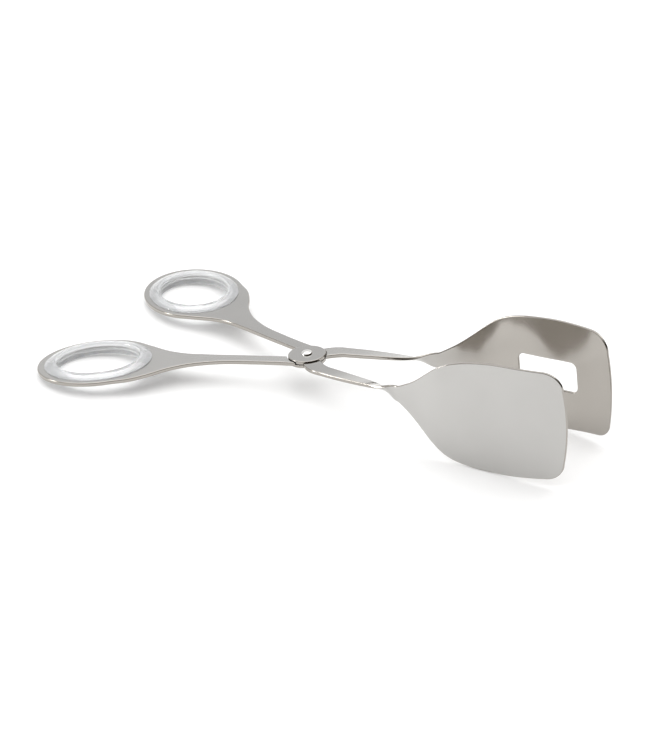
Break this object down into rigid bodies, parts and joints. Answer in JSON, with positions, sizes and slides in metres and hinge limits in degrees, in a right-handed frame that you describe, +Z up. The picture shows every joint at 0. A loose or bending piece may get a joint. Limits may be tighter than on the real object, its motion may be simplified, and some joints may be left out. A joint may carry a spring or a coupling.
{
  "type": "serving tongs",
  "caption": "Scissor-action serving tongs: two riveted steel arms with clear finger ring grips and wide upright blades, one with a window.",
  "frame": {"origin": "on the table under the middle of the tongs' box, the tongs lying at rest on the ring grips and the blades' lower edges", "axes": "+X from the finger rings to the blades, +Y to the side of the upper arm's ring, +Z up"},
  "size_m": [0.2718, 0.1364, 0.0579],
  "materials": {
    "steel": "satin faces, polished edges",
    "clear_grip": "clear, polished",
    "polished_steel": "polished",
    "washer_steel": "plain"
  },
  "bodies": {
    "upper_half": {"upper_arm": "steel", "upper_arm_grip_top": "clear_grip", "upper_arm_grip_bottom": "clear_grip", "pivot_rivet": "polished_steel", "pivot_washer": "washer_steel"},
    "lower_half": {"lower_arm": "steel", "lower_arm_grip_top": "clear_grip", "lower_arm_grip_bottom": "clear_grip"}
  },
  "joints": [
    {"name": "pivot_hinge", "type": "hinge", "parent": "upper_half", "child": "lower_half", "pos_m": [-0.01627, 0.00051, 0.01545], "axis": [-0.1088, 0, 0.9941], "range_deg": [-14.9, 22]}
  ]
}
